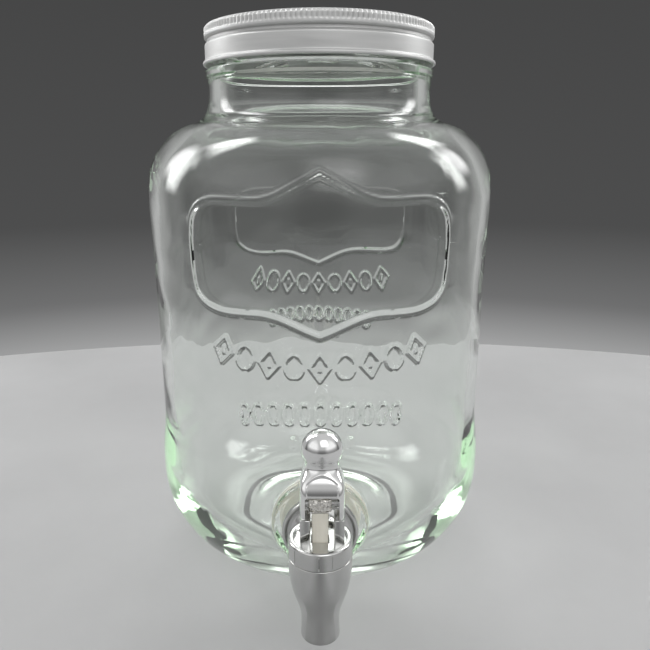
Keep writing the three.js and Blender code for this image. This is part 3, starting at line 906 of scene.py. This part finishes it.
def collar():
    """The ring that holds the bonnet down, with upright grooves in its side."""
    groove_depth = 0.22
    groove_places = (-50.0, -2.7, 21.0, 75.0, 130.0, 177.0, 201.0, 255.0)  # degrees from the front
    profile = rounded([
        (11.8, 46.45, 0.1), (COLLAR_R, 46.45, 0.3), (COLLAR_R, 54.3, 1.1), (10.8, 54.3, 0.45),
        (10.8, 52.8, 0.1), (11.8, 52.8, 0.1),
    ], steps=7)
    angle = turns(720)
    groove = np.zeros(len(angle))
    for place in groove_places:
        off = (np.degrees(angle) + 90 - place + 180) % 360 - 180
        groove = np.maximum(groove, 1 - smoothstep(0.4, 1.1, np.abs(off)))
    rows = []
    for r, z in subdivided(profile, lambda r, z: 0.8, closed=True):
        weight = 0.0
        if r > 13.0:
            weight = float(smoothstep(46.9, 47.3, z)) * (1 - float(smoothstep(52.9, 53.3, z)))
        radius = r - groove_depth * weight * groove
        rows.append(ring(radius * np.cos(angle), TAP_Y + radius * np.sin(angle), z + LIFT))
    ob = ring_object("collar_ring", rows, CHROME, closed_profile=True)
    put(ob, "jar", "bonnet_ring", sharp=30)


def o_ring():
    outline = [(3.65 + p, 47.95 + q) for p, q in oval(0.88, 0.88, count=17)[:-1]]
    ob = lathe("o_ring", outline, 64, centre=TAP_AXIS, material=SILICONE)
    put(ob, "jar", "stem_o_ring", sharp=60)


# ---------------------------------------------------------------- stem and spring
def spring_washer():
    outline = rounded([(2.8, 46.2, 0.1), (6.3, 46.2, 0.15), (6.3, 46.8, 0.15), (2.8, 46.8, 0.1)])
    ob = lathe("washer_of_spring", outline, 64, centre=TAP_AXIS, material=STEEL)
    put(ob, "jar", "spring_washer", sharp=30)


PIN_HOLE_R = 1.6


def valve_stem():
    rod = rounded([
        (0, 31.6, 0), (2.6, 31.6, 0.3), (3.4, 32.6, 0.3), (3.4, 33.6, 0.2), (2.4, 34.0, 0.1),
        (2.4, 37.2, 0.1), (6.2, 37.2, 0.2), (6.2, 38.2, 0.2), (2.55, 38.2, 0.2), (2.55, 51, 0.1),
        (0, 51, 0),
    ], closed=False)
    ob = lathe("stem", rod, 64, centre=TAP_AXIS, material=STEM_PLASTIC)
    blade = tap_box("blade", (-3.3, 3.3), (-2.5, 2.5), (50.2, 67), 0.45)
    head = tap_box("head", (-4.6, 4.6), (-3.3, 3.3), (PIN - 2.6, PIN + 3.2), 1.1)
    cut(ob, blade, head, op="UNION")
    eye = [(0, -6), (PIN_HOLE_R, -6), (PIN_HOLE_R, 6), (0, 6)]
    cut(ob, lathe("eye", eye, 48, axis="X", centre=PIN_AXIS))
    put(ob, "stem", "valve_stem", sharp=30)


def seat_plug():
    outline = rounded([
        (2.5, 34.3, 0.1), (8.2, 34.3, 0.3), (8.6, 34.9, 0.3), (7.2, 37.1, 0.4), (2.5, 37.1, 0.1),
    ])
    ob = lathe("plug", outline, 96, centre=TAP_AXIS, material=SILICONE)
    put(ob, "stem", "seat_plug", sharp=40)


def closing_spring():
    coils, steps, around = 4, 240, 12
    coil_r, wire_r = 4.7, 0.3
    bottom, rise = 38.57, 7.26
    up = np.array([0, 0, 1.0])
    rows = []
    for k in range(steps + 1):
        t = k / steps
        climb = min(1.0, max(0.0, (t - 0.12) / 0.76))  # flat at both ends
        g = 2 * math.pi * coils * t
        out = np.array([math.cos(g), math.sin(g), 0])
        x, y = coil_r * math.cos(g), TAP_Y + coil_r * math.sin(g)
        centre = np.array([x, y, bottom + rise * climb + LIFT])
        rows.append(np.array([
            centre + wire_r * (math.cos(h) * out + math.sin(h) * up) for h in turns(around)
        ]))
    ob = ring_object("spring_coil", [rows[0].mean(0)] + rows + [rows[-1].mean(0)], STEEL)
    sharpen(ob, 60)
    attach(ob, "jar")
    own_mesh(ob)
    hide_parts("closing_spring")


# ---------------------------------------------------------------- lever
KNOB_Z = 23.6  # height above the pin at which the domed top begins
KNOB_R = 8.3
KNOB_DEPTH = 7.6
# Outlines of the lever: (height above the pin, distance from the tap's axis)
LEVER_FRONT = [
    (-5.2, -3.4), (-4.34, -6.43), (-3.0, -8.1), (-1.44, -9.29), (0.9, -10.2), (3.4, -10.5),
    (6.2, -10.3), (9.4, -9.7), (12.4, -8.5), (14.6, -7.2), (16.2, -6.2), (17.8, -5.6),
    (19.2, -5.8), (20.8, -6.7), (22.4, -7.4), (KNOB_Z, -KNOB_DEPTH),
]
LEVER_BACK = [
    (-5.2, 5.2), (-4.2, 6.6), (-3.2, 7.1), (0, 7.2), (8, 7.2), (10.8, 6.9), (14, 6.0),
    (16.2, 5.5), (17.8, 5.3), (19.2, 5.7), (20.8, 6.6), (22.4, 7.35), (KNOB_Z, KNOB_DEPTH),
]
LEVER_SIDE = [
    (-5.2, 8.7), (0, 8.7), (8, 8.7), (10.6, 8.6), (12.8, 8.1), (14.6, 7.35), (16.2, 6.85),
    (17.6, 6.75), (19.0, 7.05), (20.4, 7.6), (22.0, 8.1), (KNOB_Z, KNOB_R),
]


def lever_levels():
    levels = [-5.2, -5.05, -4.8] + list(np.arange(-4.4, KNOB_Z, 0.3)) + [KNOB_Z]
    levels += [KNOB_Z + KNOB_R * math.sin(g) for g in np.radians(np.arange(3, 90, 3.0))]
    return sorted(set(round(float(z), 3) for z in levels))


def lever():
    curves = []
    for table in (LEVER_FRONT, LEVER_BACK, LEVER_SIDE):
        curve = np.array(spline(table, step=0.15))
        curves.append(curve[np.argsort(curve[:, 0])])
    angle = turns(240)
    c, s = np.cos(angle), np.sin(angle)
    rows = []
    for z in lever_levels():
        inset = 0.0
        if z < -4.6:  # the rounded lower edge
            inset = 0.55 * (1 - math.sqrt(max(0.0, 1 - ((-4.6 - z) / 0.6) ** 2)))
        if z <= KNOB_Z:
            front, back, half_width = (
                float(np.interp(z, curve[:, 0], curve[:, 1])) for curve in curves
            )
            middle, half_depth = (front + back) / 2, (back - front) / 2
        else:
            dome = math.sqrt(max(0.0, 1 - ((z - KNOB_Z) / KNOB_R) ** 2))
            middle, half_depth, half_width = 0.0, KNOB_DEPTH * dome, KNOB_R * dome
        # squarish in section low down, round at the knob
        power = 2.0 + 5.0 * (1 - float(smoothstep(10.5, 17.0, z)))
        reach = (np.abs(c) ** power + np.abs(s) ** power) ** (-1 / power)
        x, y = (half_width - inset) * reach * c, middle + (half_depth - inset) * reach * s
        # the flat front panel lies a little under its side bands, with an arched top edge
        arch = 15.2 - 2.6 * (x / 6.0) ** 2
        panel = (1 - smoothstep(5.7, 6.25, np.abs(x))) * (1 - smoothstep(-0.4, 0.4, z - arch))
        y = y + 0.45 * ((y < middle) * panel)
        rows.append(ring(x, TAP_Y + y, PIN_Z + z))
    bottom = [0.0, rows[0][:, 1].mean(), rows[0][0, 2]]
    top = [0, TAP_Y, PIN_Z + KNOB_Z + KNOB_R]
    # the lever wears the lighter chrome copy, which is painted light
    ob = ring_object("lever_handle", [bottom] + rows + [top], LIT_CHROME)
    notch = tap_box("notch", (-6.6, 6.6), (-16, 5.1), (PIN - 12, PIN + 7.8), 1.0, steps=6)
    hole = [(0, -12), (PIN_HOLE_R, -12), (PIN_HOLE_R, 12), (0, 12)]
    cut(ob, notch, lathe("hole", hole, 48, axis="X", centre=PIN_AXIS))
    ob.data.transform(Matrix.Translation((LEVER_SHIFT * MM, 0, 0)))
    put(ob, "lever", "lever", sharp=38)


def pivot_pin():
    radius, left, right = 1.45, -8.3, 8.9
    outline = [(0, left, 0), (radius, left, 0.25), (radius, right, 0.25), (0, right, 0)]
    profile = rounded(outline, closed=False)
    ob = lathe("pin", profile, 48, axis="X", centre=PIN_AXIS, material=STEEL)
    put(ob, "lever", "pivot_pin")


for build in (
    glass_jar, screw_lid, lid_wad, tap_body, shank_washers, shank_nut, bonnet, gasket, collar,
    o_ring, spring_washer, valve_stem, seat_plug, closing_spring, lever, pivot_pin,
):
    build()


# ---------------------------------------------------------------- stage (metres from here on)
def flat_object(name, points):
    mesh = bpy.data.meshes.new(name)
    mesh.from_pydata(points, [], [tuple(range(len(points)))])
    ob = bpy.data.objects.new(name, mesh)
    bpy.context.scene.collection.objects.link(ob)
    return ob


def floor():
    """A wide oval floor."""
    count, radius, widen, centre_y = 160, 0.62, 1.35, -0.26
    points = []
    for k in range(count):
        g = 2 * math.pi * k / count
        points.append((radius * widen * math.cos(g), radius * math.sin(g) + centre_y, 0))
    ob = flat_object("floor", points)
    material, graph, surface = new_material("floor_look")
    mottle = graph.noise(graph.coords(), scale=7.0, detail=5.0)
    colour = graph.ramp(mottle, [(0.3, (0.42, 0.422, 0.424)), (0.7, (0.48, 0.482, 0.484))])
    graph.feed(surface, {"Base Color": colour, "Roughness": 0.55})
    ob.data.materials.append(material)


def dark_card():
    """A card in front of the tap, seen only in reflections: it shades the spout's middle."""
    half, near, far, z = 0.06, -0.34, -0.095, 0.0006
    ob = flat_object("dark_card", [(-half, near, z), (half, near, z), (half, far, z), (-half, far, z)])
    material, graph, surface = new_material("card_look")
    place = graph.add("TexCoord", {}).outputs["Object"]
    from_middle = graph.math("ABSOLUTE", graph.split(place)["X"])
    graph.feed(surface, {
        "Alpha": graph.smooth_range(from_middle, from_min=0.040, from_max=0.0, to_max=0.52),
        "Base Color": (0.10, 0.10, 0.10, 1),
        "Roughness": 0.8,
    })
    ob.data.materials.append(material)
    ob.visible_camera = False
    ob.visible_diffuse = False
    ob.visible_transmission = False
    ob.visible_shadow = False


floor()
dark_card()

# ---------------------------------------------------------------- world
# (height, brightness), where height runs from 0 straight down to 1 straight up
BACKDROP = [
    (0.0, 0.30), (0.345, 0.40), (0.385, 0.16), (0.44, 0.075), (0.62, 0.06), (0.66, 0.12),
    (0.73, 0.46), (0.82, 0.56), (1.0, 0.60),
]
FRONT_ROOM = [
    (0.0, 0.30), (0.40, 0.26), (0.50, 0.24), (0.56, 0.42), (0.64, 0.86), (0.80, 0.86), (1.0, 0.45),
]


def studio():
    world = bpy.data.worlds.new("studio")
    bpy.context.scene.world = world
    world.use_nodes = True
    graph = Graph(world.node_tree)
    direction = graph.split(graph.add("TexCoord", {}).outputs["Generated"])
    height = graph.map_range(direction["Z"], from_min=-1, from_max=1)
    backdrop = graph.ramp(height, [(at, (v, v * 1.005, v * 1.01)) for at, v in BACKDROP])

    # a glow at the sides behind the jar
    across = graph.math("ABSOLUTE", direction["X"])
    behind = graph.smooth_range(direction["Y"], from_min=-0.05, from_max=0.25)
    beside = graph.smooth_range(across, from_min=0.28, from_max=0.64, to_max=0.44)
    side_glow = graph.math("MULTIPLY", behind, beside)

    # the room in front, brighter to the sides
    room = graph.ramp(height, [(at, (v, v, v)) for at, v in FRONT_ROOM])
    before = graph.smooth_range(direction["Y"], from_min=0.25, from_max=-0.35)
    beside = graph.smooth_range(across, from_min=0.16, from_max=0.52, to_max=0.55)
    beside = graph.math("ADD", beside, 0.60)
    front_glow = graph.math("MULTIPLY", graph.math("MULTIPLY", before, beside), room)

    glow = graph.math("MAXIMUM", side_glow, front_glow)
    total = graph.math("MAXIMUM", backdrop, glow)
    # the backdrop itself stays even
    camera_ray = graph.add("LightPath", {}).outputs["Is Camera Ray"]
    colour = graph.mix(camera_ray, total, backdrop)
    graph.feed(world.node_tree.nodes["Background"], {"Color": colour, "Strength": 1.0})


studio()

# ---------------------------------------------------------------- lights
LOOK = (0, 0.02, 0.18)
# name, place, width, height, watts
LIGHTS = [
    ("soft_left", (-0.43, 0.11, 0.77), 0.16, 0.38, 1.9),
    ("soft_right", (0.43, 0.22, 0.73), 0.15, 0.38, 1.7),
    ("wide_left", (-0.66, 0.26, 0.50), 0.28, 0.50, 3.2),
    ("wide_right", (0.68, 0.20, 0.53), 0.26, 0.46, 3.1),
    ("soft_front", (0.22, -0.95, 1.05), 1.1, 1.1, 7.0),
    ("soft_back", (0.0, 0.75, 0.70), 0.7, 0.7, 3.5),
]


def area_light(name, place, width, height, watts):
    """A rectangular light aimed at LOOK that fades out toward its edges."""
    light = bpy.data.lights.new(name, "AREA")
    light.shape = "RECTANGLE"
    light.size = width
    light.size_y = height
    light.energy = watts
    light.use_nodes = True
    graph = Graph(light.node_tree)
    across = graph.split(graph.add("NewGeometry", {}).outputs["Parametric"])
    fades = []
    for axis in ("X", "Y"):
        from_middle = graph.math("ABSOLUTE", graph.math("SUBTRACT", across[axis], 0.5))
        fades.append(graph.smooth_range(from_middle, from_min=0.5, from_max=0.12))
    strength = graph.math("MULTIPLY", *fades)
    graph.feed(light.node_tree.nodes["Emission"], {"Strength": strength})
    ob = bpy.data.objects.new(name, light)
    ob.location = place
    ob.rotation_euler = (Vector(LOOK) - Vector(place)).to_track_quat("-Z", "Y").to_euler()
    bpy.context.scene.collection.objects.link(ob)


for entry in LIGHTS:
    area_light(*entry)


# ---------------------------------------------------------------- camera and render
def camera():
    view = bpy.data.cameras.new("camera")
    ob = bpy.data.objects.new("camera", view)
    bpy.context.scene.collection.objects.link(ob)
    view.sensor_fit = "HORIZONTAL"
    view.sensor_width = 36.0
    view.lens = 35.6732308
    view.shift_x = 0.0086
    view.clip_start = 0.01
    from_axis = -337.7  # millimetres in front of the jar's axis
    look_down, roll = 16.12, 0.12  # degrees
    ob.location = (0.0, (from_axis + AXIS_Y) * MM, 0.2142)
    ob.rotation_euler = (math.radians(90 - look_down), math.radians(roll), 0)
    bpy.context.scene.camera = ob


camera()
bpy.context.scene.view_settings.view_transform = "Standard"
# light runs round inside the thick heel by total reflection, many times over
light_paths = bpy.context.scene.cycles
light_paths.max_bounces = 32
light_paths.glossy_bounces = 28
light_paths.transmission_bounces = 24
light_paths.transparent_max_bounces = 24
